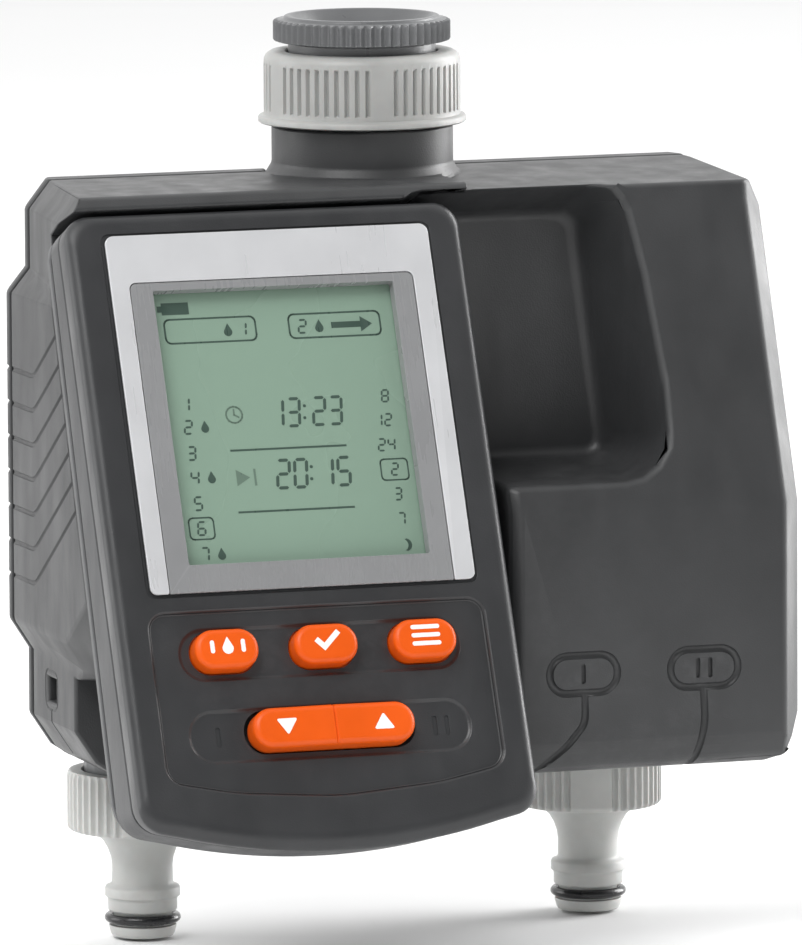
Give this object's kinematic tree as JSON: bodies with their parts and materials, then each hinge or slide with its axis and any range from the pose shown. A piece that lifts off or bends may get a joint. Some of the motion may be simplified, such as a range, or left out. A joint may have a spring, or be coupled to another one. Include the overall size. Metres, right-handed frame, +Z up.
{
  "type": "drip irrigation timer",
  "caption": "Two-outlet tap timer: tilted pull-off control unit with display, keys and rocker on an anthracite housing, union nut inlet above, hose nipples below.",
  "frame": {"origin": "centre of the tap washer's upper face, where the tap's spout presses on it, on the inlet's axis", "axes": "+Z up along the inlet, away from the timer; +X to the right as seen from the front; -Y towards the user, the side that the display faces"},
  "size_m": [0.1681, 0.1204, 0.2099],
  "materials": {
    "housing_plastic": "fine spark-eroded texture, satin",
    "control_front_plastic": "smooth satin",
    "control_rear_plastic": "satin",
    "light_grey_plastic": "satin",
    "adapter_plastic": "satin",
    "inner_plastic": "satin",
    "silver_trim": "silver paint",
    "window_plastic": "printed clear window",
    "lcd": "glossy display glass",
    "white_plastic": "matt",
    "orange_plastic": "semi-gloss",
    "board": "solder resist",
    "rubber": "matt",
    "o_ring_rubber": "wet gloss",
    "socket_plastic": "satin",
    "coil": "wound copper under tape",
    "cable": "satin",
    "steel": "bright",
    "brass": "bright",
    "battery_case": "printed sleeve"
  },
  "bodies": {
    "housing": {"front_housing": "housing_plastic", "rear_housing": "housing_plastic", "housing_seal_left": "rubber", "housing_seal_right": "rubber", "housing_seal_lower": "rubber", "sensor_socket": "socket_plastic", "inlet_manifold": "inner_plastic", "inlet_filter": "white_plastic", "inlet_washer": "rubber", "dock_contact_block": "socket_plastic", "coil_cable_left": "cable", "coil_cable_right": "cable", "housing_screw_1": "steel", "housing_screw_2": "steel", "housing_screw_3": "steel", "housing_screw_4": "steel", "housing_screw_5": "steel", "valve_body_left": "inner_plastic", "valve_body_right": "inner_plastic", "diaphragm_left": "rubber", "diaphragm_right": "rubber", "valve_bonnet_left": "inner_plastic", "valve_bonnet_right": "inner_plastic", "solenoid_coil_left": "coil", "solenoid_coil_right": "coil", "plunger_spring_left": "steel", "plunger_spring_right": "steel"},
    "union_nut": {"union_nut": "light_grey_plastic"},
    "inlet_adapter": {"inlet_adapter": "adapter_plastic", "tap_washer": "rubber"},
    "outlet_left": {"outlet_connector_left": "light_grey_plastic", "outlet_washer_left": "rubber", "outlet_o_ring_left": "o_ring_rubber"},
    "outlet_right": {"outlet_connector_right": "light_grey_plastic", "outlet_washer_right": "rubber", "outlet_o_ring_right": "o_ring_rubber"},
    "plunger_left": {"plunger_left": "steel"},
    "plunger_right": {"plunger_right": "steel"},
    "control_unit": {"control_front_shell": "control_front_plastic", "control_rear_shell": "control_rear_plastic", "control_seal": "rubber", "display_frame": "silver_trim", "display_window": "window_plastic", "lcd_glass": "lcd", "lcd_carrier": "white_plastic", "circuit_board": "board", "keypad_mat": "rubber", "battery": "battery_case", "battery_contact_left": "brass", "battery_contact_right": "brass", "battery_cover": "control_rear_plastic", "control_screw_1": "steel", "control_screw_2": "steel", "control_screw_3": "steel", "control_screw_4": "steel"},
    "button_manual": {"button_manual": "orange_plastic"},
    "button_ok": {"button_ok": "orange_plastic"},
    "button_menu": {"button_menu": "orange_plastic"},
    "rocker_key": {"rocker_key": "orange_plastic"}
  },
  "joints": [
    {"name": "union_nut_turn", "type": "hinge", "parent": "housing", "child": "union_nut", "pos_m": [0, 0, -0.003], "axis": [0, 0, 1], "continuous": true},
    {"name": "inlet_adapter_turn", "type": "hinge", "parent": "union_nut", "child": "inlet_adapter", "pos_m": [0, 0, 0.003], "axis": [0, 0, 1], "continuous": true},
    {"name": "outlet_left_turn", "type": "hinge", "parent": "housing", "child": "outlet_left", "pos_m": [-0.0542, 0, -0.167], "axis": [0, 0, 1], "continuous": true},
    {"name": "outlet_right_turn", "type": "hinge", "parent": "housing", "child": "outlet_right", "pos_m": [0.0542, 0, -0.167], "axis": [0, 0, 1], "continuous": true},
    {"name": "control_unit_pull_off", "type": "slide", "parent": "housing", "child": "control_unit", "axis": [0, -0.9205, 0.3907], "range_m": [0, 0.045]},
    {"name": "button_manual_press", "type": "slide", "parent": "control_unit", "child": "button_manual", "axis": [0, 0.9205, -0.3907], "range_m": [0, 0.0012], "stiffness_N_per_m": 600, "springref_m": -0.0005},
    {"name": "button_ok_press", "type": "slide", "parent": "control_unit", "child": "button_ok", "axis": [0, 0.9205, -0.3907], "range_m": [0, 0.0012], "stiffness_N_per_m": 600, "springref_m": -0.0005},
    {"name": "button_menu_press", "type": "slide", "parent": "control_unit", "child": "button_menu", "axis": [0, 0.9205, -0.3907], "range_m": [0, 0.0012], "stiffness_N_per_m": 600, "springref_m": -0.0005},
    {"name": "rocker_key_tilt", "type": "hinge", "parent": "control_unit", "child": "rocker_key", "pos_m": [-0.0368, -0.08222, -0.13916], "axis": [0, 0.3907, 0.9205], "range_deg": [-4, 4], "stiffness_Nm_per_rad": 0.5},
    {"name": "plunger_left_lift", "type": "slide", "parent": "housing", "child": "plunger_left", "axis": [0, 0, 1], "range_m": [0, 0.0012], "stiffness_N_per_m": 150, "springref_m": -0.003, "deforming": ["plunger_spring_left", "diaphragm_left"]},
    {"name": "plunger_right_lift", "type": "slide", "parent": "housing", "child": "plunger_right", "axis": [0, 0, 1], "range_m": [0, 0.0012], "stiffness_N_per_m": 150, "springref_m": -0.003, "deforming": ["plunger_spring_right", "diaphragm_right"]}
  ]
}
